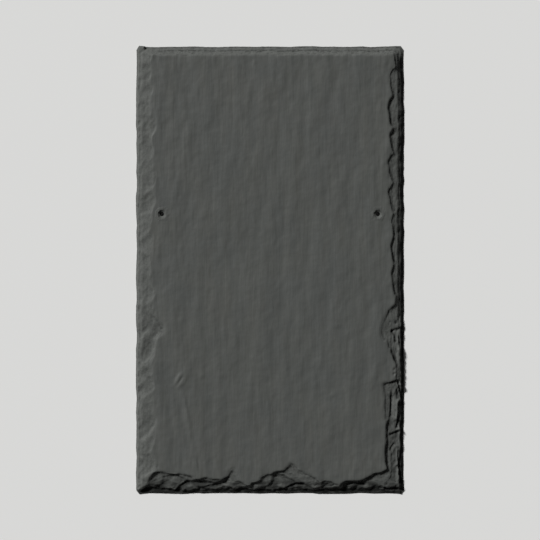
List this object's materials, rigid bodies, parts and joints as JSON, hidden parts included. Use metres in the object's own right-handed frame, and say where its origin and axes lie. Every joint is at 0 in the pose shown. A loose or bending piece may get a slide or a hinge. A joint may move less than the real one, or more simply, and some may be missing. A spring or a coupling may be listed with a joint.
{
  "type": "slate roof tile",
  "caption": "Riven rectangular roofing slate with chipped, bevelled edges and a pair of nail holes.",
  "frame": {"origin": "centre of the bounding box's bottom face, in the middle of the bed (the back) that the slate lies on", "axes": "+X across the slate, to its right seen from the face; +Y from the tail to the head; +Z out of the riven face"},
  "size_m": [0.3, 0.5, 0.01],
  "materials": {
    "slate": "matt riven dark grey slate"
  },
  "bodies": {
    "root": {"slate": "slate"}
  },
  "joints": []
}
